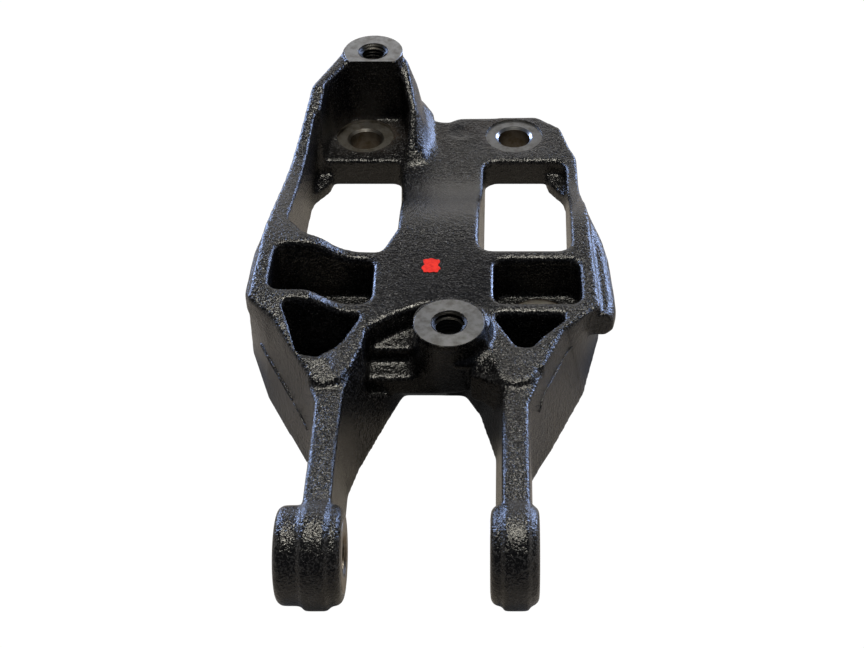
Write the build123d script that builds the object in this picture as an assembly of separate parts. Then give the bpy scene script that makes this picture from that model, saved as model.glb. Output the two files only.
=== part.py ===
from build123d import *
import math
import os

# Stabilizer link bracket: one iron casting with machined holes and spot faces.
# X runs across it, Y from the link eyes towards the bolt flange, Z up.
# The origin lies midway between the two rear bolt holes, on the flat mounting face.

# Bolt holes: two through the rear flange, two in the front pockets
rear_bolt_spacing = 80.0
front_bolt_spacing = 102.0
bolt_row_gap = 153.5
bolt_bore = 17.0
bolt_chamfer = 1.3
spot_face = 30.4
spot_depth = 0.6
tower_spot_depth = 1.8

# Heights above the mounting face
flange_top = 15.5
plate_top = 42.0
shoulder_top = 52.0
saddle_top = 43.5
rim_top = 51.5
boss_top = 54.0
pocket_floor = 18.5
triangle_floor = 12.0

# Lengths along Y, from the rear edge to the link eyes
flange_rear = 16.2
flange_skew = 1.8
flange_reach = 23.0
window_length = 106.8
crest_width = 6.5
pocket_length = 31.7
corner_offset = 4.0
neck_length = 13.0
root_length = 31.0
eye_distance = 301.0

# Spine between the windows, and the ramp that climbs along it
spine_left = -15.0
spine_right = 21.5
spine_foot = 3.0
ramp_offset = 10.0
ramp_margin = 14.8
corner_web = 7.0

# Side rails: their width, and the outer edge at places along Y
rail_width = 9.5
right_rail_x = 72.8
right_corner_x = 78.5
left_shoulder_x = -65.5
left_saddle_x = -71.0
left_waist_x = -78.4
left_corner_x = -81.0
shoulder_y = -8.0
saddle_y = -52.0
waist_y = -124.0

# Front walls, which lean outwards to the foot, and the lips beside the corners
right_neck_x = 62.0
left_neck_x = -70.0
right_root_x = 50.0
left_root_x = -50.5
wall_lean = 9.5
right_lip_reach = 7.7
right_lip_drop = 5.0
left_lip_reach = 2.0
left_lip_drop = 4.0
lip_height = 12.0
right_lip_length = 87.0
left_lip_length = 56.0
lip_chamfer = 3.0

# Crests between window and pockets rise in a curve from the plate to the left rail
crest_low_x = -35.0
crest_high_x = -60.0

# Lightening pockets in front of the bolt pockets
triangle_depth = 23.0
triangle_wall = 7.5
right_triangle_x = 29.0
left_triangle_x = -29.0

# Arms and link eyes
arm_width = 11.0
arm_drop = 2.5
arm_rise = 1.5
arm_nose = 9.5
left_arm_x = -40.5
right_arm_x = 40.0
eye_z = 22.1
eye_diameter = 40.0
eye_band = 44.2
fork_gap = 59.6
left_eye_length = 26.6
right_eye_length = 19.3
eye_chamfer = 2.0
link_bore = 17.0
arm_foot_spread = 3.0

# Threaded bosses
tower_boss_x = -35.3
tower_boss_y = 23.3
front_boss_x = 10.8
front_boss_y = -195.0
boss_diameter = 31.0
boss_flare = 3.0
thread_diameter = 14.0
thread_chamfer = 1.2
tower_thread_depth = 30.0
front_thread_depth = 20.0

# Pocket around the left rear bolt, below the tower boss
tower_pocket_left = -59.0
tower_pocket_right = -20.5
tower_pocket_rear = 15.5
tower_wall_lean = 1.8
web_bulge = 5.0

# Cross web between the arms
web_offset = 19.0
web_foot = 13.0
ledge_top = 30.0
pad_top = 22.0
pad_length = 11.0
gusset_foot = 22.0

# Rounding of the outline's corners, and of the edges that pockets leave in the plate
casting_round = 3.0
mouth_round = 1.5

# Round mark cast into the flange
cast_mark = 11.0
cast_mark_x = 10.6
cast_mark_y = 2.6
cast_mark_depth = 0.4

# Places that follow from the sizes above
front_bolt_y = -bolt_row_gap
flange_front = -flange_reach
ramp_start = flange_front - ramp_offset
window_front = flange_front - window_length
ramp_end = window_front + ramp_margin
pocket_rear = window_front - crest_width
pocket_front = pocket_rear - pocket_length
triangle_rear = pocket_front - crest_width
corner_y = pocket_front - corner_offset
neck_y = corner_y - neck_length
root_y = neck_y - root_length
eye_y = -eye_distance
arm_end = eye_y + 3.0
web_front = root_y + web_offset
boss_radius = boss_diameter / 2
arm_top = plate_top - arm_drop
left_inner = left_arm_x + arm_width / 2
right_inner = right_arm_x - arm_width / 2
left_outer = left_arm_x - arm_width / 2
right_outer = right_arm_x + arm_width / 2
tall = boss_top + 6.0
far = 2 * eye_distance

right_rim = [
    (right_rail_x, flange_front + 3.0),
    (right_rail_x + 0.3, saddle_y + 6.0),
    (right_corner_x, corner_y),
    (right_neck_x, neck_y),
    (right_root_x, root_y),
    (right_outer, root_y - 14.0),
]
left_rim = [
    (left_shoulder_x, shoulder_y),
    (left_saddle_x, saddle_y),
    (left_waist_x, waist_y),
    (left_corner_x, corner_y),
    (left_neck_x, neck_y),
    (left_root_x, root_y),
    (left_outer, root_y - 14.0),
]


def edge_at(stations, y):
    """X of an edge that runs straight between its stations, at the place y."""
    for (x0, y0), (x1, y1) in zip(stations, stations[1:]):
        if y1 <= y <= y0:
            return x0 + (x1 - x0) * (y0 - y) / (y0 - y1)
    return stations[-1][0]


def outline_face(points, z):
    """A closed plan outline at one height."""
    return Face(Wire.make_polygon([Vector(x, y, z) for x, y in points], close=True))


def prism(points, low, high, radius=0.0):
    """A plan outline with rounded corners, raised from one height to another."""
    face = outline_face(points, low)
    if radius:
        face = face.fillet_2d(radius, face.vertices())
    return extrude(face, high - low, dir=(0, 0, 1))


def leaning_block(foot, head, low, high, radius=0.0):
    """A solid with straight sides between a lower and an upper plan outline."""
    sections = [outline_face(foot, low), outline_face(head, high)]
    if radius:
        sections = [face.fillet_2d(radius, face.vertices()) for face in sections]
    return loft(sections, ruled=True)


def across(points, x_from, x_to):
    """A profile of (y, z) points carried along X."""
    face = Face(Wire.make_polygon([Vector(x_from, y, z) for y, z in points], close=True))
    return extrude(face, x_to - x_from, dir=(1, 0, 0))


def outline_block():
    """Rails, front walls and arms in one block, before its top is shaped."""
    lean = wall_lean
    rear_right = flange_rear + flange_skew
    flange = [
        (4.5, flange_rear - 3.5),
        (9.5, flange_rear),
        (51.8, rear_right),
        (64.8, rear_right - 10.6),
        (69.4, rear_right - 28.5),
        right_rim[0],
        right_rim[1],
    ]
    # rim x, rim y, foot x, foot y
    right_side = [(x, y, x, y) for x, y in flange] + [
        (right_corner_x, corner_y, right_corner_x + 1.5, corner_y + 26.0),
        (right_neck_x, neck_y, right_neck_x + lean, neck_y),
        (right_root_x, root_y, right_root_x + 0.6 * lean, root_y - 6.0),
        (right_outer, root_y - 14.0, right_outer + 1.6, root_y - 24.0),
        (right_outer, arm_end, right_outer + 1.6, arm_end),
    ]
    left_side = [
        (-4.0, flange_rear - 2.0, -4.0, flange_rear - 2.0),
        (tower_boss_x - 16.5, flange_rear, tower_boss_x - 16.5, flange_rear),
        (left_shoulder_x, shoulder_y, left_shoulder_x, shoulder_y),
        (left_saddle_x, saddle_y, left_saddle_x - 1.0, saddle_y),
        (left_waist_x, waist_y, left_waist_x - 1.5, waist_y),
        (left_corner_x, corner_y, left_corner_x - 3.5, corner_y + 16.0),
        (left_neck_x, neck_y, left_neck_x - 0.4 * lean, neck_y - 3.0),
        (left_root_x, root_y, left_root_x - 0.6 * lean, root_y - 6.0),
        (left_outer, root_y - 14.0, left_outer - 0.5, root_y - 24.0),
        (left_outer, arm_end, left_outer, arm_end),
    ]
    loop = right_side + left_side[::-1]
    rise = tall / plate_top
    foot = [(fx, fy) for _, _, fx, fy in loop]
    head = [(fx + (x - fx) * rise, fy + (y - fy) * rise) for x, y, fx, fy in loop]
    return leaning_block(foot, head, 0.0, tall, casting_round)


def plate_profile():
    """Side view of the spine and plate: a smooth ramp from flange to plate."""
    ramp = Spline(
        (0, ramp_start, flange_top),
        (0, ramp_end, plate_top),
        tangents=[(0, -1, 0), (0, -1, 0)],
    )
    rest = Polyline(
        (0, ramp_end, plate_top),
        (0, eye_y, plate_top),
        (0, eye_y, 0),
        (0, flange_rear + 40.0, 0),
        (0, flange_rear + 40.0, flange_top),
        (0, ramp_start, flange_top),
    )
    return Face(Wire([ramp, *rest.edges()]))


def rim_profile():
    """Side view of the left rail: high at the tower, a saddle, high at the corner."""
    crown = Spline(
        (0, tower_boss_y, boss_top - 0.5),
        (0, shoulder_y, shoulder_top),
        (0, saddle_y, saddle_top),
        (0, window_front, rim_top),
        (0, pocket_front, rim_top - 0.5),
        (0, root_y - 4.0, plate_top),
        tangents=[(0, -1, 0), (0, -1, -0.2)],
    )
    rest = Polyline(
        (0, root_y - 4.0, plate_top),
        (0, root_y - 4.0, 0),
        (0, tower_boss_y, 0),
        (0, tower_boss_y, boss_top - 0.5),
    )
    return Face(Wire([crown, *rest.edges()]))


def crest_profile():
    """View along Y: the crests rise in an S from the plate to the left rail."""
    rise = Spline(
        (crest_low_x, 0, plate_top - 0.01),
        (crest_high_x, 0, rim_top + 0.3),
        tangents=[(-1, 0, 0.05), (-1, 0, 0.05)],
    )
    rest = Polyline(
        (crest_high_x, 0, rim_top + 0.3),
        (crest_high_x - 50, 0, rim_top + 2.5),
        (crest_high_x - 50, 0, 0),
        (crest_low_x, 0, 0),
        (crest_low_x, 0, plate_top - 0.01),
    )
    return Face(Wire([rise, *rest.edges()]))


def lip(rim, corner_x, reach, length, top):
    """Rounded shoulder that stands out along a rail towards its front corner."""
    side = math.copysign(1.0, corner_x)
    outer = corner_x + side * reach
    rear_y = corner_y + length
    rear_x = edge_at(rim, rear_y)
    points = [
        (corner_x - side * 4.0, corner_y + 1.0),
        (outer - side * 1.5, corner_y + 1.0),
        (outer, corner_y + 8.0),
        (outer - side * 0.05 * reach, corner_y + 0.22 * length),
        (outer - side * 0.25 * reach, corner_y + 0.5 * length),
        (outer - side * 0.58 * reach, corner_y + 0.68 * length),
        (rear_x - side * 0.5, rear_y),
        (rear_x - side * 6.0, rear_y),
    ]
    bar = prism(points, top - lip_height, top)
    long_edges = [
        e
        for e in bar.edges()
        if side * e.center().X > side * corner_x - 0.5
        and abs(e.center().Z - top + lip_height / 2) > 1.0
        and e.center().Y > corner_y + 1.5
    ]
    return chamfer(long_edges, lip_chamfer)


def frame_body():
    """The block cut to its two top surfaces: the low plate and the high left rail."""
    block = outline_block()
    right_top = plate_top - right_lip_drop
    left_top = rim_top - left_lip_drop
    block += lip(right_rim, right_corner_x, right_lip_reach, right_lip_length, right_top)
    block += lip(left_rim, left_corner_x, left_lip_reach, left_lip_length, left_top)
    low = extrude(Pos(-far / 2, 0, 0) * plate_profile(), far, dir=(1, 0, 0))
    high = extrude(Pos(-far / 2, 0, 0) * rim_profile(), far / 2 + crest_low_x, dir=(1, 0, 0))
    curve = extrude(Pos(0, far / 2, 0) * crest_profile(), far, dir=(0, -1, 0))
    return (block & low) + (block & (high & curve))


def arm_drops():
    """Lowers the arms below the plate, which ends in a round nose on each of them."""
    step_y = root_y + 5.0
    cut = across(
        [
            (step_y, arm_top),
            (eye_y, arm_top + arm_rise),
            (eye_y - 40.0, arm_top + arm_rise),
            (eye_y - 40.0, tall),
            (step_y, tall),
        ],
        left_root_x - 10.0,
        right_root_x + 10.0,
    )
    for x in (left_arm_x - 3.0, right_arm_x):
        cut -= Pos(x, step_y - 0.5, plate_top) * Cylinder(arm_nose, 4 * arm_drop + tall)
    return cut


def tower():
    """Boss over the left rear bolt, its back wall and the web that falls to the spine."""
    boss = Pos(tower_boss_x, tower_boss_y, boss_top / 2) * Cylinder(boss_radius, boss_top)
    wall = prism(
        [
            (tower_boss_x - 0.94 * boss_radius, tower_boss_y + 0.34 * boss_radius),
            (left_shoulder_x, shoulder_y),
            (tower_pocket_left + 3.0, shoulder_y - 4.0),
            (tower_boss_x - 4.0, tower_pocket_rear - 4.0),
            (tower_pocket_right - 1.0, tower_pocket_rear - 2.0),
            (tower_boss_x + 0.97 * boss_radius, tower_boss_y - 3.0),
        ],
        0.0,
        boss_top - 1.0,
    )
    inside = tower_pocket_right - 4.0
    flank = [
        # y, ridge height, x of the ridge, foot x on the flange
        (tower_boss_y + 7.0, boss_top - 8.0, tower_boss_x + 0.96 * boss_radius, -9.0),
        (tower_boss_y - 3.0, boss_top - 3.0, tower_boss_x + 1.14 * boss_radius, -4.0),
        (-4.0, 36.5, tower_pocket_right + web_bulge + 3.5, -2.0),
        (flange_front - 4.0, flange_top + 0.3, tower_pocket_right + 7.0, 1.5),
    ]
    sections = []
    for y, ridge, x, foot_x in flank:
        rise = ridge - flange_top
        spread = foot_x - x
        points = [
            (inside, 0),
            (inside, ridge),
            (x, ridge),
            (x + 0.38 * spread, flange_top + 0.55 * rise),
            (x + 0.56 * spread, flange_top + 0.2 * rise),
            (foot_x, flange_top),
            (foot_x, 0),
        ]
        sections.append(Face(Wire.make_polygon([Vector(px, y, pz) for px, pz in points], close=True)))
    return boss + wall + loft(sections, ruled=True)


def fork_opening():
    """Space between the arms, narrower at the foot than at the top."""
    spread = arm_foot_spread
    foot = [
        (left_inner + 0.6 * spread, eye_y - 40),
        (left_inner + 0.6 * spread, root_y - 34.0),
        (left_inner + 1.85 * spread, root_y - 18.0),
        (left_inner + 16.0, root_y + 11.0),
        (left_inner + 24.0, root_y + 32.0),
        (right_inner - 17.5, root_y + 30.0),
        (right_inner - 10.5, root_y + 17.0),
        (right_inner - spread, root_y - 12.0),
        (right_inner - spread, eye_y - 40),
    ]
    head = [
        (left_inner, eye_y - 40),
        (left_inner, root_y - 34.0),
        (left_inner, root_y - 6.0),
        (left_inner + 4.5, web_front - 5.0),
        (left_inner + 6.5, web_front),
        (right_inner - 8.5, web_front),
        (right_inner - 4.5, web_front - 11.0),
        (right_inner, root_y - 5.0),
        (right_inner, eye_y - 40),
    ]
    opening = leaning_block(foot, head, 0.0, plate_top + 1.0, casting_round)
    behind = web_front + 47.0
    middle = front_boss_x + 3.0
    cross_web = prism(
        [
            (left_inner - 10.0, web_front),
            (middle, web_front),
            (middle, behind),
            (left_inner - 10.0, behind),
        ],
        web_foot,
        tall,
    )
    gusset = prism(
        [
            (middle - 8.0, web_front),
            (front_boss_x + 2.0, web_front - 8.5),
            (front_boss_x + 7.2, web_front - 12.3),
            (right_inner - 10.0, web_front - 15.5),
            (right_inner - 1.5, root_y - 3.5),
            (right_inner + 6.0, root_y - 8.0),
            (right_inner + 6.0, behind),
            (middle - 8.0, behind),
        ],
        gusset_foot,
        tall,
    )
    return opening - cross_web - gusset


def round_mouth(body, pocket, above):
    """Rounds the edge that a pocket or window leaves in the surface it is cut from."""
    wall = pocket.shell()
    mouth = []
    for edge in body.edges():
        middle = edge @ 0.5
        level = abs((edge % 0.5).Z) < 0.8
        if level and middle.Z > above and wall.distance_to(Vertex(*middle)) < 0.001:
            mouth.append(edge)
    return body.fillet(mouth_round, mouth)


def cross_web_steps():
    """Ledge and raised pad cut into the front of the plate beside the front boss."""
    pad_rear = web_front + pad_length
    before = web_front - 35.0
    ledge = prism(
        [
            (left_inner + 8.5, pad_rear),
            (front_boss_x - 25.4, pad_rear + 7.0),
            (front_boss_x - 18.3, pad_rear + 14.0),
            (front_boss_x - 9.8, pad_rear + 18.0),
            (front_boss_x + 5.2, pad_rear + 6.0),
            (front_boss_x + 5.2, before),
            (left_inner + 14.0, before),
            (left_inner + 12.0, web_front - 8.0),
            (left_inner + 6.5, web_front + 1.0),
        ],
        ledge_top,
        tall,
    )
    pad = prism(
        [
            (left_inner + 7.5, pad_rear),
            (front_boss_x + 9.2, pad_rear),
            (front_boss_x + 9.2, before),
            (left_inner + 16.0, before),
            (left_inner + 14.0, web_front - 8.0),
            (left_inner + 8.2, web_front),
        ],
        pad_top,
        tall,
    )
    return ledge + pad


def front_boss():
    """Threaded boss at the front edge of the plate; its column leans back to the web."""
    foot_radius = boss_radius + 1.5
    foot_y = web_front - 0.3 + foot_radius
    head = Pos(front_boss_x, front_boss_y, boss_top) * Circle(boss_radius)
    foot = Pos(front_boss_x, foot_y, web_foot) * Circle(foot_radius)
    column = loft([foot.face(), head.face()], ruled=True)
    skirt = Pos(front_boss_x, front_boss_y, plate_top + 3.0) * Cone(
        boss_radius + boss_flare, boss_radius, 8.0
    )
    plate_side = Pos(front_boss_x + boss_radius, front_boss_y + boss_radius - 5.0, plate_top + 3.0) * Box(
        2 * boss_radius + 4.0, 2 * boss_radius, 10.0
    )
    return column + (skirt & plate_side)


def eye(arm_x, inner_x, length):
    """A link eye: a short barrel with a raised band where the arm runs round it."""
    side = math.copysign(1.0, arm_x)
    barrel = Cylinder(eye_diameter / 2, length)
    barrel = chamfer(barrel.edges().filter_by(GeomType.CIRCLE), eye_chamfer)
    band = Cylinder(eye_band / 2, arm_width - 1.0)
    turned = Rot(0, 90, 0)
    return (
        Pos(inner_x + side * length / 2, eye_y, eye_z) * turned * barrel
        + Pos(arm_x, eye_y, eye_z) * turned * band
    )


def windows():
    """Two through openings, narrower at the foot of the spine, wider at the rails."""
    right_rear = right_rail_x - rail_width + 4.0
    right_front = edge_at(right_rim, window_front) - rail_width
    left_rear = edge_at(left_rim, flange_front) + rail_width - 4.0
    left_mid = edge_at(left_rim, window_front + 15.0) + rail_width - 0.2
    left_front = left_mid + 10.0
    front = window_front - 1.5
    # x at the foot, x at the top, y
    right = [
        (spine_right + spine_foot, spine_right, flange_front),
        (right_rear, right_rear, flange_front),
        (right_front - 1.0, right_front, window_front),
        (spine_right + spine_foot, spine_right, window_front),
    ]
    left = [
        (spine_left - 2.0 - spine_foot, spine_left - 2.0, flange_front),
        (left_rear - 3.5, left_rear, flange_front),
        (left_mid - 1.0, left_mid, front + 16.5),
        (left_front - 1.0, left_front, front + 2.5),
        (spine_left - 8.0, spine_left - 8.0, front),
        (spine_left - spine_foot, spine_left, front + 18.5),
        (spine_left - spine_foot, spine_left + 0.5, front + 61.5),
    ]
    openings = []
    for stations, radius in ((right, 7.0), (left, 5.0)):
        foot = [(x, y) for x, _, y in stations]
        head = [(x, y) for _, x, y in stations]
        openings.append(leaning_block(foot, head, -1.0, tall, radius))
    return openings[0] + openings[1]


def corner_webs():
    """Low webs that fill the outer rear corners of both windows."""
    webs = []
    for side, rim, start in ((1, right_rim, right_rail_x - 16.3), (-1, left_rim, 55.9)):
        front = flange_front - 32.0
        outer_rear = abs(edge_at(rim, flange_front)) - 2.5
        outer_front = abs(edge_at(rim, front)) - 2.5
        points = [
            (start, flange_front + 1.0),
            (start + 1.5, flange_front - 7.0),
            (start + 9.0, flange_front - 18.0),
            (start + 12.0, front),
            (outer_front, front),
            (outer_rear, flange_front + 1.0),
        ]
        webs.append(prism([(side * x, y) for x, y in points], 0.0, corner_web))
    return webs[0] + webs[1]


def bolt_pockets():
    """Deep pockets in the plate around the front bolts."""
    right_wall = edge_at(right_rim, pocket_rear) - 6.8
    left_wall = edge_at(left_rim, pocket_rear) + 7.4
    right = [
        (right_triangle_x + 1.0, pocket_rear),
        (right_wall, pocket_rear),
        (right_wall + 0.6, pocket_front),
        (right_triangle_x + 1.0, pocket_front),
    ]
    left = [
        (left_triangle_x + 3.0, pocket_rear),
        (left_wall, pocket_rear),
        (left_wall - 1.0, pocket_front),
        (left_triangle_x + 3.0, pocket_front),
    ]
    return prism(right, pocket_floor, tall, 6.0) + prism(left, pocket_floor, tall, 6.0)


def triangle_pockets():
    """Lightening pockets that narrow towards the arms."""
    rear, depth, wall = triangle_rear, triangle_depth, triangle_wall
    right = [
        (right_triangle_x, rear),
        (right_neck_x + 1.5, rear),
        (right_neck_x + 0.3, rear - 0.2 * depth),
        (edge_at(right_rim, rear - 0.65 * depth) - wall, rear - 0.65 * depth),
        (right_triangle_x + 18.0, rear - depth),
        (right_triangle_x + 11.5, rear - 0.97 * depth),
        (right_triangle_x + 6.0, rear - 0.52 * depth),
    ]
    left = [
        (left_triangle_x, rear),
        (left_neck_x + 4.0, rear),
        (left_neck_x + 9.0, rear - 0.63 * depth),
        (edge_at(left_rim, rear - 1.3 * depth) + wall - 6.0, rear - 1.3 * depth),
        (left_triangle_x - 17.5, rear - 1.4 * depth),
        (left_triangle_x - 9.5, rear - 0.96 * depth),
    ]
    return prism(right, triangle_floor, tall, 3.0) + prism(left, triangle_floor, tall, 3.0)


def tower_pocket():
    """Room for the left rear bolt, open towards the window; its back wall leans."""
    front = flange_front - 12.0

    def outline(rear):
        return [
            (tower_pocket_left + 0.5, shoulder_y + 4.0),
            (tower_boss_x - 12.8, rear),
            (tower_pocket_right, rear),
            (tower_pocket_right + web_bulge, -3.0),
            (tower_pocket_right + web_bulge - 2.0, front),
            (tower_pocket_left - 2.5, front),
        ]

    lean = tower_wall_lean * (tall - flange_top) / (boss_top - flange_top)
    return leaning_block(
        outline(tower_pocket_rear), outline(tower_pocket_rear - lean), flange_top, tall, 4.0
    )


def bolt_hole(x, y, floor, depth):
    """Plain bolt hole with a machined spot face and a chamfer at its mouth."""
    face_z = floor - depth
    bore = Cylinder(bolt_bore / 2, 2 * tall)
    spot = Pos(0, 0, face_z + depth) * Cylinder(spot_face / 2, 2 * depth)
    mouth = Pos(0, 0, face_z) * Cone(
        bolt_bore / 2 - 1, bolt_bore / 2 + 2 * bolt_chamfer, 2 * bolt_chamfer + 1
    )
    return Pos(x, y, 0) * (bore + spot + mouth)


def threaded_hole(x, y, depth):
    """Blind threaded hole in the top of a boss, cut at the thread's size."""
    hole = Pos(0, 0, boss_top - depth / 2) * Cylinder(thread_diameter / 2, depth)
    mouth = Pos(0, 0, boss_top) * Cone(
        thread_diameter / 2 - 1, thread_diameter / 2 + 2 * thread_chamfer, 2 * thread_chamfer + 1
    )
    return Pos(x, y, 0) * (hole + mouth)


def link_bores():
    """One line through both eyes."""
    reach = fork_gap + 2 * max(left_eye_length, right_eye_length) + 10
    return Pos(0, eye_y, eye_z) * Rot(0, 90, 0) * Cylinder(link_bore / 2, reach)


def bracket():
    body = frame_body() + tower()
    window_pair = windows()
    pocket_pair = bolt_pockets()
    triangle_pair = triangle_pockets()
    body -= window_pair
    body += corner_webs()
    body -= pocket_pair
    body -= triangle_pair
    left_pocket, right_pocket = pocket_pair.solids().sort_by(Axis.X)
    right_triangle = triangle_pair.solids().sort_by(Axis.X)[1]
    right_window = window_pair.solids().sort_by(Axis.X)[1]
    for opening in (left_pocket, right_pocket, right_triangle, right_window):
        body = round_mouth(body, opening, flange_top + 1.0)
    body -= tower_pocket()
    body -= fork_opening()
    body -= arm_drops()
    body -= cross_web_steps()
    body += front_boss()
    body += eye(left_arm_x, -fork_gap / 2, left_eye_length)
    body += eye(right_arm_x, fork_gap / 2, right_eye_length)
    body -= Pos(cast_mark_x, cast_mark_y, flange_top) * Cylinder(cast_mark / 2, 2 * cast_mark_depth)
    rear_x = rear_bolt_spacing / 2
    front_x = front_bolt_spacing / 2
    body -= bolt_hole(rear_x, 0, flange_top, spot_depth)
    body -= bolt_hole(-rear_x, 0, flange_top, tower_spot_depth)
    body -= bolt_hole(front_x, front_bolt_y, pocket_floor, spot_depth)
    body -= bolt_hole(-front_x, front_bolt_y, pocket_floor, spot_depth)
    body -= threaded_hole(tower_boss_x, tower_boss_y, tower_thread_depth)
    body -= threaded_hole(front_boss_x, front_boss_y, front_thread_depth)
    body -= link_bores()
    return body


os.makedirs("parts", exist_ok=True)
casting = bracket()
print("solids", len(casting.solids()), "volume", round(casting.volume), casting.bounding_box().size)
export_step(casting, "parts/bracket_casting.step")
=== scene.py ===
import math

import bmesh
import bpy
from mathutils import Matrix, Vector, noise


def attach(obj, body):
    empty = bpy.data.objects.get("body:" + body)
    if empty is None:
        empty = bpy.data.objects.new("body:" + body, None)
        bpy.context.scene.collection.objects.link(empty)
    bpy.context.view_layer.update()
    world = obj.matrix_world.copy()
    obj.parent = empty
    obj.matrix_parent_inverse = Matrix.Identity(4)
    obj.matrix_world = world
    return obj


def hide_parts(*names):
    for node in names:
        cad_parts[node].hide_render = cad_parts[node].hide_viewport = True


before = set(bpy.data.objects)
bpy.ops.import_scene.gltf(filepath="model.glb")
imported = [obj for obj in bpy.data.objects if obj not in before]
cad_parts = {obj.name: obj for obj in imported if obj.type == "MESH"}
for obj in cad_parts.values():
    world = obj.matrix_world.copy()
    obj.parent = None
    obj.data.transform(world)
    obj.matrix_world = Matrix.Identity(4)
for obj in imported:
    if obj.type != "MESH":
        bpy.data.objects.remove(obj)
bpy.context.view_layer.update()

MM = 0.001
# Points nearer to each other than this, in metres, are one
weld = 1e-6
# Edges with more degrees between their faces than this are drawn crisp
cast_crease = 48
machined_crease = 25
thread_crease = 30
casting_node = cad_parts["bracket_casting"]

# Heights and places of the casting and its machined faces, in millimetres
plate_top = 42.0
flange_top = 15.5
pocket_floor = 18.5
boss_top = 54.0
boss_radius = 15.5
bore_radius = 8.5
ring_radius = 15.2
front_bolt_y = -153.5
tower_boss = (-35.3, 23.3)
front_boss = (10.8, -195.0)
tower_front_y = 13.5
# y and z of the bore through both link eyes
eye_centre = (-301.0, 22.1)
# x of each link eye's inner face and of its outer face
eye_faces = {"left": (-29.8, -56.4), "right": (29.8, 49.1)}

# name, x, y, height around it, height of the machined face
spot_faces = [
    ("rear_right", 40.0, 0.0, flange_top, flange_top - 0.6),
    ("rear_left", -40.0, 0.0, flange_top, flange_top - 1.8),
    ("front_right", 51.0, front_bolt_y, pocket_floor, pocket_floor - 0.6),
    ("front_left", -51.0, front_bolt_y, pocket_floor, pocket_floor - 0.6),
]
# name, place, lowest point of the thread
thread_bottoms = [
    ("tower", tower_boss, 26.0),
    ("front", front_boss, 35.0),
]


# Small helpers for meshes and objects

def mesh_of(name, bm):
    """Turn a bmesh into a mesh and free it."""
    mesh = bpy.data.meshes.new(name)
    bm.to_mesh(mesh)
    bm.free()
    return mesh


def placed(name, data):
    """Put an object with this data into the scene."""
    thing = bpy.data.objects.new(name, data)
    bpy.context.scene.collection.objects.link(thing)
    return thing


def as_modified(thing):
    """A new mesh of what an object is after its modifiers."""
    bpy.context.view_layer.update()
    graph = bpy.context.evaluated_depsgraph_get()
    return bpy.data.meshes.new_from_object(thing.evaluated_get(graph))


def subtract(piece, tool):
    """Give a piece a modifier that cuts another object out of it."""
    cut = piece.modifiers.new(tool.name, "BOOLEAN")
    cut.operation = "DIFFERENCE"
    cut.solver = "EXACT"
    cut.object = tool


def finished(name, bm, material, smooth=True, sharp_angle=None):
    """Turn a bmesh into a piece of the casting's body."""
    mesh = mesh_of(name, bm)
    for face in mesh.polygons:
        face.use_smooth = smooth
    if sharp_angle:
        mesh.set_sharp_from_angle(angle=math.radians(sharp_angle))
    piece = placed(name, mesh)
    mesh.materials.append(material)
    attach(piece, "root")
    return piece


def turned(profile, x=0.0, y=0.0, steps=96, pitch=0.0, turns=1):
    """Spin a profile of (radius, height) points round an upright line, or wind it up as a thread."""
    bm = bmesh.new()
    points = [bm.verts.new((r * MM, 0, z * MM)) for r, z in profile]
    edges = [bm.edges.new(pair) for pair in zip(points, points[1:])]
    bmesh.ops.spin(
        bm, geom=points + edges, cent=(0, 0, 0), axis=(0, 0, 1), angle=2 * math.pi * turns,
        dvec=(0, 0, pitch * MM / steps), steps=steps * turns, use_merge=not pitch, use_duplicate=False,
    )
    bmesh.ops.remove_doubles(bm, verts=bm.verts, dist=weld)
    bmesh.ops.translate(bm, verts=bm.verts, vec=Vector((x, y, 0)) * MM)
    bmesh.ops.recalc_face_normals(bm, faces=bm.faces)
    return bm


def added(bm, other):
    """Add the faces of another bmesh and free it."""
    mesh = mesh_of("part", other)
    bm.from_mesh(mesh)
    bpy.data.meshes.remove(mesh)


def hull(points):
    """The closed convex body round a list of points."""
    bm = bmesh.new()
    corners = [bm.verts.new(Vector(point) * MM) for point in points]
    made = bmesh.ops.convex_hull(bm, input=corners)
    loose = [v for v in made["geom_interior"] if isinstance(v, bmesh.types.BMVert)]
    bmesh.ops.delete(bm, geom=loose, context="VERTS")
    bmesh.ops.recalc_face_normals(bm, faces=bm.faces)
    return bm


def upright(outline, low, high):
    """Points of an upright block over a plan outline."""
    return [(x, y, z) for x, y in outline for z in (low, high)]


def cut_flat(bm, place, normal=(0, 1, 0)):
    """Cut away what lies before a plane and close the cut; the plane stands square to its normal."""
    cut = bmesh.ops.bisect_plane(
        bm, geom=bm.verts[:] + bm.edges[:] + bm.faces[:], plane_co=Vector(normal) * place * MM,
        plane_no=normal, clear_inner=True,
    )
    rim = [e for e in cut["geom_cut"] if isinstance(e, bmesh.types.BMEdge)]
    bmesh.ops.edgenet_fill(bm, edges=rim)
    bmesh.ops.recalc_face_normals(bm, faces=bm.faces)
    return bm


# Materials

def new_material(name):
    """A node material with its nodes, its links and its shader."""
    material = bpy.data.materials.new(name)
    material.use_nodes = True
    nodes = material.node_tree.nodes
    return material, nodes, material.node_tree.links, nodes["Principled BSDF"]


def noise_field(nodes, links, place, scale, detail=3.0, roughness=0.55):
    """A noise value over the piece's own coordinates, which are in metres."""
    field = nodes.new("ShaderNodeTexNoise")
    field.inputs["Scale"].default_value = scale
    field.inputs["Detail"].default_value = detail
    field.inputs["Roughness"].default_value = roughness
    links.new(place, field.inputs["Vector"])
    return field.outputs["Fac"]


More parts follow.
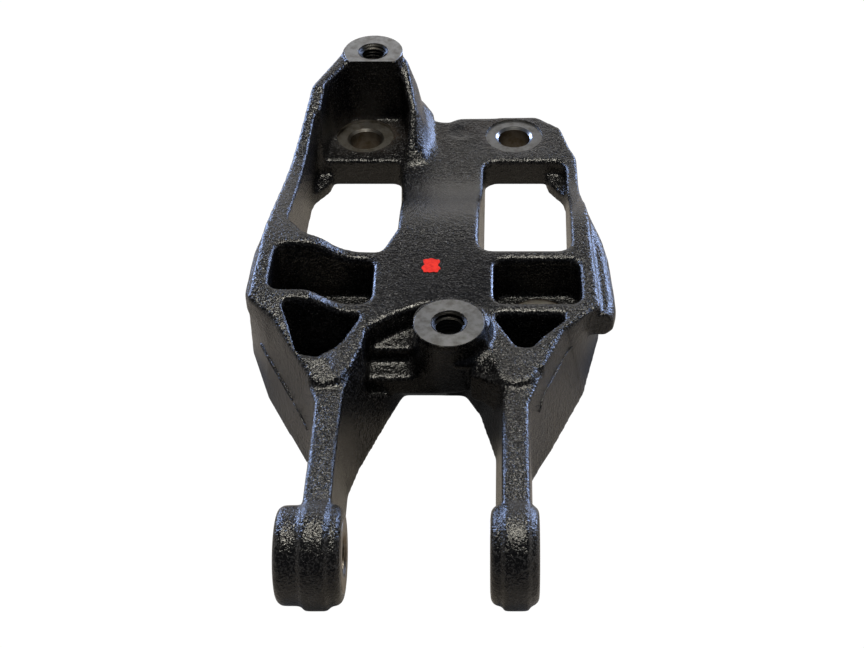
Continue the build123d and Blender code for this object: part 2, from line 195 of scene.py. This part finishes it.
def two_tone(nodes, links, value, low, low_colour, high, high_colour):
    """A colour that passes from one to another between two levels of a value."""
    ramp = nodes.new("ShaderNodeValToRGB")
    ramp.color_ramp.elements[0].position = low
    ramp.color_ramp.elements[0].color = (*low_colour, 1)
    ramp.color_ramp.elements[1].position = high
    ramp.color_ramp.elements[1].color = (*high_colour, 1)
    links.new(value, ramp.inputs["Fac"])
    return ramp.outputs["Color"]


def spread(nodes, links, value, low, high):
    """Carry a noise value, which lies mostly between 0.3 and 0.7, to another range."""
    scale = nodes.new("ShaderNodeMapRange")
    scale.inputs["From Min"].default_value = 0.3
    scale.inputs["From Max"].default_value = 0.7
    scale.inputs["To Min"].default_value = low
    scale.inputs["To Max"].default_value = high
    links.new(value, scale.inputs["Value"])
    return scale.outputs["Result"]


def worked(nodes, links, operation, first, second, third=None):
    """The result of a sum on sockets and plain numbers."""
    step = nodes.new("ShaderNodeMath")
    step.operation = operation
    for socket, value in zip(step.inputs, (first, second, third)):
        if isinstance(value, (int, float)):
            socket.default_value = value
        elif value is not None:
            links.new(value, socket)
    return step.outputs["Value"]


def surface_value(nodes, name):
    """What mark_surface wrote under this name for each point."""
    stored = nodes.new("ShaderNodeAttribute")
    stored.attribute_name = name
    return stored.outputs["Fac"]


def blended(nodes, links, share, first, second):
    """Two colours mixed by share; the second is a socket or a plain colour."""
    mix = nodes.new("ShaderNodeMix")
    mix.data_type = "RGBA"
    links.new(share, mix.inputs["Factor"])
    links.new(first, mix.inputs["A"])
    if isinstance(second, tuple):
        mix.inputs["B"].default_value = (*second, 1)
    else:
        links.new(second, mix.inputs["B"])
    return mix.outputs["Result"]


def roughen(nodes, links, shader, height, distance, strength):
    """Bump a shader's surface; the strength is a socket or a plain number."""
    bump = nodes.new("ShaderNodeBump")
    bump.inputs["Distance"].default_value = distance
    if isinstance(strength, float):
        bump.inputs["Strength"].default_value = strength
    else:
        links.new(strength, bump.inputs["Strength"])
    links.new(height, bump.inputs["Height"])
    links.new(bump.outputs["Normal"], shader.inputs["Normal"])


def black_paint():
    """Black paint over rough sand-cast iron, with brown stains beside the machined faces, the same brown as
    a painted reflection of the floor on the outer side walls, painted sparkle on the grain's crests, and
    painted shade that dims the reflection of walls in recesses.
    """
    material, nodes, links, shader = new_material("black_casting_paint")
    place = nodes.new("ShaderNodeTexCoord").outputs["Object"]
    patches = noise_field(nodes, links, place, scale=42.0, detail=4.0, roughness=0.6)
    deep_black, worn_black = (0.0020, 0.0020, 0.0028), (0.0055, 0.0052, 0.0055)
    black = two_tone(nodes, links, patches, 0.35, deep_black, 0.72, worn_black)

    blotches = noise_field(nodes, links, place, scale=150.0, detail=5.0, roughness=0.65)
    blotches = spread(nodes, links, blotches, low=0.0, high=1.0)
    # This share lays the brown both as real stains and as a painted reflection of the floor on the outer
    # side walls.
    stain_and_reflection_share = worked(nodes, links, "MULTIPLY", surface_value(nodes, "stain_and_reflection"), blotches)
    rust_and_reflection_brown, dust_and_reflection_grey = (0.060, 0.047, 0.038), (0.066, 0.064, 0.066)
    stain_and_reflection_colour = two_tone(nodes, links, patches, 0.4, rust_and_reflection_brown, 0.6, dust_and_reflection_grey)
    black_with_stains_and_reflection = blended(nodes, links, stain_and_reflection_share, black, stain_and_reflection_colour)

    graininess = surface_value(nodes, "grain")
    grain = noise_field(nodes, links, place, scale=1050.0, detail=2.0, roughness=0.5)
    # Lighter grey on the crests of the grain is painted sparkle of light, put into the base colour.
    sparkle_share = spread(nodes, links, grain, low=-1.6, high=1.5)
    sparkle_share = worked(nodes, links, "MULTIPLY", sparkle_share, graininess)
    sparkle_grey = (0.036, 0.036, 0.038)
    black_with_sparkle = blended(nodes, links, sparkle_share, black_with_stains_and_reflection, sparkle_grey)
    links.new(black_with_sparkle, shader.inputs["Base Color"])
    links.new(spread(nodes, links, patches, low=0.15, high=0.23), shader.inputs["Roughness"])
    # Upright walls in recesses reflect less here: painted shade.
    plain_shine, painted_shade_loss = 0.5, 0.36
    shine = worked(nodes, links, "MULTIPLY_ADD", surface_value(nodes, "dimmed"), -painted_shade_loss, plain_shine)
    links.new(shine, shader.inputs["Specular IOR Level"])

    lump_share, grain_height = 0.8, 0.00044
    lumps = noise_field(nodes, links, place, scale=420.0, detail=1.0, roughness=0.5)
    height = worked(nodes, links, "MULTIPLY_ADD", lumps, lump_share, grain)
    roughen(nodes, links, shader, height, grain_height, graininess)
    return material


def bare_iron(name, x, y, tone, warmth, roughness, scratches):
    """Machined iron with turning marks round one hole."""
    material, nodes, links, shader = new_material(name)
    shader.inputs["Metallic"].default_value = 1.0
    shader.inputs["Roughness"].default_value = roughness
    place = nodes.new("ShaderNodeTexCoord").outputs["Object"]
    stains = noise_field(nodes, links, place, scale=240.0, detail=5.0, roughness=0.6)
    dimmed = (0.62 * tone, (0.60 - 0.10 * warmth) * tone, (0.57 - 0.22 * warmth) * tone)
    bright = (tone, (1.0 - 0.10 * warmth) * tone, (1.0 - 0.22 * warmth) * tone)
    links.new(two_tone(nodes, links, stains, 0.36, dimmed, 0.58, bright), shader.inputs["Base Color"])
    centred = nodes.new("ShaderNodeMapping")
    centred.inputs["Location"].default_value = (-x * MM, -y * MM, 0)
    links.new(place, centred.inputs["Vector"])
    rings = nodes.new("ShaderNodeTexWave")
    rings.wave_type = "RINGS"
    rings.rings_direction = "Z"
    rings.inputs["Scale"].default_value = 430.0
    rings.inputs["Distortion"].default_value = 1.2
    rings.inputs["Detail"].default_value = 2.0
    links.new(centred.outputs["Vector"], rings.inputs["Vector"])
    fine_share, mark_height = 0.8, 0.0002
    fine = noise_field(nodes, links, place, scale=1400.0, detail=2.0)
    height = worked(nodes, links, "MULTIPLY_ADD", fine, fine_share, rings.outputs["Fac"])
    roughen(nodes, links, shader, height, mark_height, scratches)
    return material


def red_marker():
    """Thick red paint with darker streaks."""
    material, nodes, links, shader = new_material("red_paint_dab")
    place = nodes.new("ShaderNodeTexCoord").outputs["Object"]
    streaks = noise_field(nodes, links, place, scale=520.0)
    dark_red, bright_red = (0.58, 0.008, 0.002), (0.80, 0.022, 0.006)
    red = two_tone(nodes, links, streaks, 0.34, dark_red, 0.60, bright_red)
    links.new(red, shader.inputs["Base Color"])
    roughen(nodes, links, shader, streaks, distance=0.0003, strength=0.5)
    shader.inputs["Roughness"].default_value = 0.6
    shader.inputs["Specular IOR Level"].default_value = 0.2
    return material


# The casting, with its edges rounded as a sand casting's are

voxel = 0.9
coat = 0.25
edge_passes = 13
kept_share = 0.36
# A height well over the casting, and the small step between a cut and the machined piece on it
clear_top = 60.0
lap = 0.02
# The pad and ledge beside the front boss
web_front = -197.0
pad_top = 22.0
ledge_top = 30.0


def carved(piece):
    """Take away what still stands in front of the pad, behind the ledge and on the gusset."""
    notch = ((web_front, 12.0), (-210.0, 24.5), (-210.0, clear_top), (web_front, clear_top))
    before_pad = [(x, y, z) for x in (-27.4, -4.0) for y, z in notch]
    ledge_back = [(-26.4, -186.4), (-24.4, -183.2), (-14.0, -175.2), (-8.0, -172.0), (-8.0, -186.4)]
    slope = [(21.0, -198.0, 42.2), (31.5, -207.0, 42.2), (27.5, -218.0, 37.6), (11.0, -209.0, 32.5)]
    over_gusset = slope + [(x, y, clear_top) for x, y, _ in slope]
    for corners in (before_pad, upright(ledge_back, ledge_top, clear_top), over_gusset):
        subtract(piece, placed("carving", mesh_of("carving", hull(corners))))
    mesh = as_modified(piece)
    for cut in list(piece.modifiers):
        bpy.data.objects.remove(cut.object)
    piece.modifiers.clear()
    return mesh


def leaning_column():
    """The front boss's column, which leans back to the web."""
    bm = bmesh.new()
    x, y = front_boss
    # height, how far back the middle lies, radius
    rings = [(58.0, 0.0, boss_radius), (53.0, 0.3, boss_radius), (17.5, 13.6, boss_radius + 1.5)]
    for z, back, radius in rings:
        for step in range(72):
            angle = math.radians(5 * step)
            round_x = x + radius * math.cos(angle)
            round_y = y + back + radius * math.sin(angle)
            bm.verts.new(Vector((round_x, round_y, z)) * MM)
    bmesh.ops.convex_hull(bm, input=bm.verts[:])
    bmesh.ops.recalc_face_normals(bm, faces=bm.faces)
    return bm


def flare(x, y, low, high, reach):
    """A hollow round, as between an upright column and the surface it stands on."""
    hollow = []
    for angle in (math.radians(15 * step) for step in range(7)):
        radius = boss_radius + reach * (1 - math.sin(angle))
        hollow.append((radius, low + (high - low) * (1 - math.cos(angle))))
    foot = low - 3.0
    return turned([(0, foot), (hollow[0][0], foot)] + hollow + [(0, high)], x, y, steps=72)


def stock_for_machining(bm):
    """Fill the holes and raise the bosses as before machining, and add the front column and web."""
    for _, x, y, around, face in spot_faces:
        wide, low, plug = ring_radius + 1, face - 2, bore_radius + 1
        added(bm, turned([(0, low), (wide, low), (wide, around), (0, around)], x, y))
        added(bm, turned([(0, 0), (plug, 0), (plug, face), (0, face)], x, y))
    added(bm, leaning_column())
    web = ((web_front, pad_top), (web_front, 13.0), (-185.5, 0.6), (-180.0, 0.6), (-180.0, pad_top))
    added(bm, hull([(x, y, z) for x in (-27.2, 9.0) for y, z in web]))
    x, y = front_boss
    over_pad = flare(x, y + 8.0, low=pad_top, high=31.0, reach=5.5)
    added(bm, cut_flat(over_pad, web_front + 0.2))
    over_gusset = flare(x + 2.5, y + 6.5, low=40.5, high=48.5, reach=4.5)
    added(bm, cut_flat(over_gusset, x + 2.0, (1, 0, 0)))
    riser_foot, riser_head = boss_top - 4, boss_top + 4
    for name, (x, y), _ in thread_bottoms:
        profile = [(0, riser_foot), (boss_radius, riser_foot), (boss_radius, riser_head), (0, riser_head)]
        riser = turned(profile, x, y)
        if name == "tower":
            cut_flat(riser, tower_front_y + 0.2)
        added(bm, riser)


def machining_cuts():
    """What the machining takes away: spot faces, bolt holes, boss tops and bores."""
    bm = bmesh.new()
    for _, x, y, around, face in spot_faces:
        hole, low, wide, over = bore_radius + 1.4, face - lap, ring_radius + 0.05, around + 2
        profile = [(0, -2), (hole, -2), (hole, low), (wide, low), (wide, over), (0, over)]
        added(bm, turned(profile, x, y))
    for _, (x, y), bottom in thread_bottoms:
        hole, low, top, wide, over = 7.7, bottom - 2, boss_top - lap, 20, 64
        profile = [(0, low), (hole, low), (hole, top), (wide, top), (wide, over), (0, over)]
        added(bm, turned(profile, x, y))
    for near, end in eye_faces.values():
        hole, length = bore_radius + 0.6, abs(end - near) + 1
        bore = turned([(0, -1), (hole, -1), (hole, length), (0, length)])
        lay_across(bore, min(near, end))
        added(bm, bore)
    return placed("cuts", mesh_of("cuts", bm))


def lay_across(bm, x):
    """Turn an upright piece to lie along X through the link eyes, its foot at x."""
    bmesh.ops.rotate(bm, verts=bm.verts, cent=(0, 0, 0), matrix=Matrix.Rotation(math.pi / 2, 3, "Y"))
    y, z = eye_centre
    bmesh.ops.translate(bm, verts=bm.verts, vec=Vector((x, y, z)) * MM)


def soft_spot(x, y, middle, reach):
    """1 at a middle point, falling off past its reach along x and along y."""
    return math.exp(-((x - middle[0]) / reach[0]) ** 2 - ((y - middle[1]) / reach[1]) ** 2)


def mark_surface(mesh):
    """Say for every point how much stain and painted floor reflection, how much grain and how much painted
    shade the paint has there.
    """
    stain_and_reflection = mesh.attributes.new("stain_and_reflection", "FLOAT", "POINT")
    grain = mesh.attributes.new("grain", "FLOAT", "POINT")
    dimmed = mesh.attributes.new("dimmed", "FLOAT", "POINT")
    rings = [Vector((x, y)) for _, x, y, around, _ in spot_faces if around == flange_top]
    halo_width = 3.0
    for vert in mesh.vertices:
        x, y, z = vert.co / MM
        place = Vector((x, y))
        near = min((place - ring).length for ring in rings) - ring_radius
        halo = math.exp(-max(near, 0.0) / halo_width) if z < 22 else 0.0
        flange = 0.42 * soft_spot(x, y, (8, 2), (30, 16)) if z < 20 else 0.0
        # Sideways-facing outer walls near the front take the brown stain colour as a painted reflection of
        # the floor.
        floor_reflection_on_walls = abs(vert.normal.x) > 0.5 and abs(x) > 46 and y < -170 and z < 37
        stain_and_reflection.data[vert.index].value = min(1.0, 0.8 * halo + flange + 0.5 * floor_reflection_on_walls)
        plate = soft_spot(x, y, (8, -152), (34, 26)) if z > 38 else 0.0
        smooth_flange = soft_spot(x, y, (15, 2), (45, 18)) if z < 18 else 0.0
        grain.data[vert.index].value = 1.0 - 0.80 * plate - 0.35 * smooth_flange
        # Upright walls between the arms, in the pockets and in the tower are marked for painted shade, which
        # dims their reflection.
        upright_wall = abs(vert.normal.z) < 0.6
        between_arms = abs(x) < 39 and -285 < y < -184
        pocket_side = 72 if y > -170 else 60
        in_pocket = abs(x) < pocket_side and -192 < y < -134 and z < 38
        in_tower = x < -14 and 0 < y < 40 and z > 18 and vert.normal.y < 0
        shaded = upright_wall and (between_arms or in_pocket or in_tower)
        dimmed.data[vert.index].value = 1.0 if shaded else 0.0


def casting_skin(material):
    """A copy of the casting with round cast edges and crisp machined ones."""
    bm = bmesh.new()
    bm.from_mesh(casting_node.data)
    bmesh.ops.remove_doubles(bm, verts=bm.verts, dist=weld)
    piece = finished("casting_skin", bm, material)
    bm = bmesh.new()
    bm.from_mesh(carved(piece))
    stock_for_machining(bm)
    bm.to_mesh(piece.data)
    bm.free()
    remesh = piece.modifiers.new("skin", "REMESH")
    remesh.mode = "VOXEL"
    remesh.voxel_size = voxel * MM
    soften = piece.modifiers.new("soften", "SMOOTH")
    soften.factor = 0.5
    soften.iterations = edge_passes
    paint_coat = piece.modifiers.new("coat", "DISPLACE")
    paint_coat.strength = coat * MM
    paint_coat.mid_level = 0.0
    thin = piece.modifiers.new("thin", "DECIMATE")
    thin.ratio = kept_share
    cuts = machining_cuts()
    subtract(piece, cuts)
    shaped = as_modified(piece)
    piece.modifiers.clear()
    raw = piece.data
    piece.data = shaped
    bpy.data.meshes.remove(raw)
    bpy.data.objects.remove(cuts)
    for face in shaped.polygons:
        face.use_smooth = True
    shaped.set_sharp_from_angle(angle=math.radians(cast_crease))
    mark_surface(shaped)
    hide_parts("bracket_casting")
    return piece


paint = black_paint()
skin = casting_skin(paint)


# Machined faces round the bolt holes, on the bosses and at the link eyes

def spot_face(name, x, y, around, face, face_material, bore_material):
    """The face and chamfer of one bolt hole, with the wall of its recess, and the bore below."""
    bore, ring, foot, chamfer = bore_radius, ring_radius, 0.2, 1.3
    rim, under = (bore, face - chamfer), face - 2.4
    profile = [
        rim, (bore + chamfer, face), (ring, face), (ring, around - lap), (ring + 0.5, around - 0.3),
        (ring + 0.5, face - 0.8), (bore + 1.35, under), rim,
    ]
    finished(name + "_spot_face", turned(profile, x, y), face_material, sharp_angle=machined_crease)
    sleeve = [(bore, foot), rim, (bore + 1.3, under), (bore + 1.3, foot), (bore, foot)]
    finished(name + "_bolt_bore", turned(sleeve, x, y), bore_material, sharp_angle=machined_crease)


def boss_face(name, x, y, material):
    """The machined top of a threaded boss, down to the first thread."""
    top, edge, mouth = boss_top + lap, boss_radius + coat, 8.0
    profile = [
        (mouth, top - 0.2), (mouth + 0.15, top), (edge - 0.35, top), (edge - lap, top - 0.3),
        (edge - 0.3, top - 0.7), (mouth, top - 0.7), (mouth, top - 0.2),
    ]
    bm = turned(profile, x, y)
    if name == "tower":
        cut_flat(bm, tower_front_y)
    finished(name + "_boss_face", bm, material, sharp_angle=machined_crease)


def boss_thread(name, x, y, bottom, material):
    """A helical thread of 2 mm pitch down the bore, with the blind end of the hole."""
    crest, root, pitch = 6.0, 7.05, 2.0
    turns = int((boss_top - 1.6 - bottom) / pitch)
    tooth = [(root, 0.0), (root - 0.1, 0.25), (crest, 0.9), (crest, 1.1), (root - 0.1, 1.75), (root, pitch)]
    profile = [(radius, bottom + rise) for radius, rise in tooth]
    bm = turned(profile, x, y, steps=48, pitch=pitch, turns=turns)
    mouth = [(root - 0.2, boss_top - 1.7), (root - 0.2, boss_top - 1.1), (8.05, boss_top - 0.1)]
    added(bm, turned(mouth, x, y))
    outward = []
    for face in bm.faces:
        away = face.calc_center_median() - Vector((x, y, 0)) * MM
        if face.normal.x * away.x + face.normal.y * away.y > 0:
            outward.append(face)
    bmesh.ops.reverse_faces(bm, faces=outward)
    wide, low = root + 0.3, bottom - 1.8
    added(bm, turned([(0, low), (wide, low), (wide, bottom + 0.6), (0, bottom + 0.2)], x, y))
    finished(name + "_boss_thread", bm, material, sharp_angle=thread_crease)


def eye_bush_face(side, material):
    """The machined bore and inner face of one link eye."""
    near, end = eye_faces[side]
    length = abs(end - near)
    bore, outer, lip, foot, chamfer = bore_radius, 15.2, coat + 0.06, 0.4, 1.0
    profile = [
        (bore, foot), (bore, length - chamfer + lip), (bore + chamfer, length + lip), (outer, length + lip),
        (outer + 0.3, length - 0.3), (outer, length - 1.2), (bore + 0.7, length - 2.0), (bore + 0.7, foot),
        (bore, foot),
    ]
    bm = turned(profile)
    if side == "right":
        bmesh.ops.rotate(bm, verts=bm.verts, cent=(0, 0, 0), matrix=Matrix.Rotation(math.pi, 3, "X"))
    lay_across(bm, end)
    finished(side + "_eye_bore", bm, material, sharp_angle=machined_crease)


# tone, warmth, roughness, depth of the turning marks
face_looks = {
    "rear_right": (0.42, 0.0, 0.30, 0.10),
    "rear_left": (0.40, 0.5, 0.36, 0.12),
    "front_right": (0.40, 0.5, 0.40, 0.12),
    "front_left": (0.40, 0.5, 0.40, 0.12),
    "tower": (0.46, 0.0, 0.36, 0.12),
    "front": (0.26, 0.0, 0.38, 0.14),
}
bore_metal = bare_iron("bolt_bore_iron", 0.0, 0.0, tone=0.13, warmth=1.0, roughness=0.45, scratches=0.3)
# The threads' iron is made far darker than the machined faces: painted shade inside the threaded holes.
shaded_thread_metal = bare_iron("shaded_thread_iron", 0.0, 0.0, tone=0.05, warmth=0.2, roughness=0.42, scratches=0.2)
for name, x, y, around, face in spot_faces:
    face_metal = bare_iron(name + "_machined_iron", x, y, *face_looks[name])
    spot_face(name, x, y, around, face, face_metal, bore_metal)
for name, (x, y), bottom in thread_bottoms:
    face_metal = bare_iron(name + "_machined_iron", x, y, *face_looks[name])
    boss_face(name, x, y, face_metal)
    boss_thread(name, x, y, bottom, shaded_thread_metal)
eye_y, _ = eye_centre
eye_metal = bare_iron("eye_machined_iron", 0.0, eye_y, tone=0.34, warmth=1.0, roughness=0.42, scratches=0.08)
eye_bush_face("left", eye_metal)
eye_bush_face("right", eye_metal)


# Parting ridges left by the mould on the outer walls

def bead(name, points, radius, swell, closed=False):
    """A raised bead on the casting, through rough places that are set down on its surface."""
    curve = bpy.data.curves.new(name, "CURVE")
    curve.dimensions = "3D"
    curve.bevel_depth = radius * MM
    curve.bevel_resolution = 2
    curve.use_fill_caps = True
    line = curve.splines.new("NURBS")
    line.points.add(len(points) - 1)
    for spot, point in zip(line.points, points):
        on_skin = skin.closest_point_on_mesh(Vector(point) * MM)[1]
        spot.co = (*on_skin, 1)
        spot.radius = 1 + swell * noise.noise(Vector(point) * 0.9)
    line.order_u = 3
    line.use_endpoint_u = not closed
    line.use_cyclic_u = closed
    line.resolution_u = 6
    drawn = placed(name, curve)
    mesh = as_modified(drawn)
    bpy.data.objects.remove(drawn)
    bm = bmesh.new()
    bm.from_mesh(mesh)
    bpy.data.meshes.remove(mesh)
    bmesh.ops.remove_doubles(bm, verts=bm.verts, dist=weld)
    piece = finished(name, bm, paint)
    mark_surface(piece.data)


left_upper = [(-77.0, -177.8, 26.0), (-71.6, -186.1, 25.2), (-67.0, -193.9, 23.6), (-62.8, -200.9, 22.4),
              (-58.9, -208.6, 21.0)]
left_lower = [(x - 0.4, y - 0.6, z - 1.5) for x, y, z in left_upper]
bead("left_parting_ridge", left_upper + left_lower[::-1], radius=0.45, swell=0.3, closed=True)
left_tail = [(-58.7, -210.6, 19.4), (-55.0, -217.5, 18.5), (-51.3, -225.0, 17.6)]
bead("left_parting_tail", left_tail, radius=0.4, swell=0.4)
right_ridge = [(65.6, -184.8, 30.1), (63.9, -187.8, 30.5), (62.2, -190.9, 30.8), (60.5, -195.2, 30.6),
               (58.9, -199.5, 30.8), (57.7, -202.6, 30.4), (56.6, -205.6, 30.5), (54.7, -209.8, 30.6),
               (52.9, -214.0, 30.7), (51.1, -219.0, 29.5), (49.9, -223.2, 26.7)]
bead("right_parting_ridge", right_ridge, radius=0.55, swell=1.1)


def paint_dab():
    """A dab of red paint on the plate, wide at both ends and notched at its sides."""
    half_wide, half_long, thickness = 4.3, 5.1, 0.2
    middle = (0.8, -142.0, plate_top + coat)
    bm = bmesh.new()
    bmesh.ops.create_circle(bm, cap_ends=True, radius=1.0, segments=72)
    for vert in bm.verts:
        angle = math.atan2(vert.co.y, vert.co.x)
        square = 1.0 / max(abs(math.cos(angle)), abs(math.sin(angle))) ** 0.40
        notch = 1 - 0.24 * math.exp(-((vert.co.y - 0.15) / 0.22) ** 2)
        wave = 1 + 0.22 * noise.noise(Vector((2.4 * math.cos(angle), 2.4 * math.sin(angle), 3.7)))
        vert.co.x *= half_wide * square * notch * wave * MM
        vert.co.y *= half_long * square * wave * MM
    made = bmesh.ops.extrude_face_region(bm, geom=bm.faces[:])
    top = [v for v in made["geom"] if isinstance(v, bmesh.types.BMVert)]
    bmesh.ops.translate(bm, verts=top, vec=(0, 0, thickness * MM))
    bmesh.ops.translate(bm, verts=bm.verts, vec=Vector(middle) * MM)
    bmesh.ops.recalc_face_normals(bm, faces=bm.faces)
    finished("red_dab", bm, red_marker(), smooth=False)


paint_dab()


# Floor, background, light and camera

def white_floor():
    """A floor that is nearly white to the camera and keeps a faint shadow."""
    bm = bmesh.new()
    bmesh.ops.create_grid(bm, x_segments=1, y_segments=1, size=8.0)
    mesh = mesh_of("floor", bm)
    floor = placed("floor", mesh)
    material, nodes, links, shader = new_material("white_floor")
    shader.inputs["Base Color"].default_value = (0.38, 0.34, 0.30, 1)
    shader.inputs["Roughness"].default_value = 0.8
    shader.inputs["Specular IOR Level"].default_value = 0.0
    glow = nodes.new("ShaderNodeEmission")
    glow.inputs["Strength"].default_value = 1.05
    seen = nodes.new("ShaderNodeLightPath")
    glow_to_camera, glow_to_metal = 0.96, 0.06
    share = worked(nodes, links, "MULTIPLY", seen.outputs["Is Camera Ray"], glow_to_camera)
    share = worked(nodes, links, "MULTIPLY_ADD", seen.outputs["Is Glossy Ray"], glow_to_metal, share)
    mix = nodes.new("ShaderNodeMixShader")
    links.new(share, mix.inputs["Fac"])
    links.new(shader.outputs["BSDF"], mix.inputs[1])
    links.new(glow.outputs["Emission"], mix.inputs[2])
    links.new(mix.outputs["Shader"], nodes["Material Output"].inputs["Surface"])
    mesh.materials.append(material)


def soft_lamp(name, place, size, power, colour):
    """A flat lamp that faces the middle of the bracket."""
    data = bpy.data.lights.new(name, "AREA")
    data.shape = "RECTANGLE"
    data.size, data.size_y = size
    data.energy = power
    data.color = colour
    lamp = placed(name, data)
    lamp.location = place
    bracket_middle = (0, -0.14, 0.03)
    aim = Vector(bracket_middle) - Vector(place)
    lamp.rotation_euler = aim.to_track_quat("-Z", "Y").to_euler()


def pale_room():
    """White to the camera; to the metal bright at the horizon and darker above and in front."""
    scene = bpy.context.scene
    scene.view_settings.view_transform = "Standard"
    world = bpy.data.worlds.new("pale_room")
    scene.world = world
    world.use_nodes = True
    nodes, links = world.node_tree.nodes, world.node_tree.links
    soft = nodes["Background"]
    way = nodes.new("ShaderNodeTexCoord")
    parts = nodes.new("ShaderNodeSeparateXYZ")
    links.new(way.outputs["Generated"], parts.inputs["Vector"])
    ramp = nodes.new("ShaderNodeValToRGB")
    ramp.color_ramp.interpolation = "EASE"
    ramp.color_ramp.elements[0].position = 0.02
    ramp.color_ramp.elements[0].color = (1.05, 1.01, 0.94, 1)
    ramp.color_ramp.elements[1].position = 0.36
    ramp.color_ramp.elements[1].color = (0.045, 0.05, 0.06, 1)
    front_dimming = -0.35
    back, up = parts.outputs["Y"], parts.outputs["Z"]
    front_shade = worked(nodes, links, "MULTIPLY_ADD", back, front_dimming, up)
    links.new(front_shade, ramp.inputs["Fac"])
    links.new(ramp.outputs["Color"], soft.inputs["Color"])
    soft.inputs["Strength"].default_value = 1.0
    white = nodes.new("ShaderNodeBackground")
    white.inputs["Color"].default_value = (1, 1, 1, 1)
    seen = nodes.new("ShaderNodeLightPath")
    mix = nodes.new("ShaderNodeMixShader")
    links.new(seen.outputs["Is Camera Ray"], mix.inputs["Fac"])
    links.new(soft.outputs["Background"], mix.inputs[1])
    links.new(white.outputs["Background"], mix.inputs[2])
    links.new(mix.outputs["Shader"], nodes["World Output"].inputs["Surface"])


def lamps():
    """A warm lamp overhead and two bluish windows behind, which light the cast edges."""
    warm_white, sky_blue = (1.0, 0.96, 0.84), (0.42, 0.58, 1.0)
    soft_lamp("ceiling_lamp", (0.05, 0.0, 1.5), size=(0.35, 0.50), power=19.0, colour=warm_white)
    soft_lamp("left_window", (-0.92, 0.98, 0.36), size=(0.5, 0.65), power=18.0, colour=sky_blue)
    soft_lamp("right_window", (0.92, 0.98, 0.36), size=(0.5, 0.65), power=18.0, colour=sky_blue)


def photo_camera():
    """The photo's view: from the front and above, with the bracket left of the lens's middle."""
    data = bpy.data.cameras.new("photo_camera")
    data.sensor_width = 36.0
    data.lens = 70.83
    data.shift_x = -0.0868
    data.clip_start = 0.01
    camera = placed("photo_camera", data)
    camera.location = (0.0362, -0.7525, 0.548)
    camera.rotation_euler = (math.radians(90 - 41.6), 0, 0)
    bpy.context.scene.camera = camera


white_floor()
pale_room()
lamps()
photo_camera()
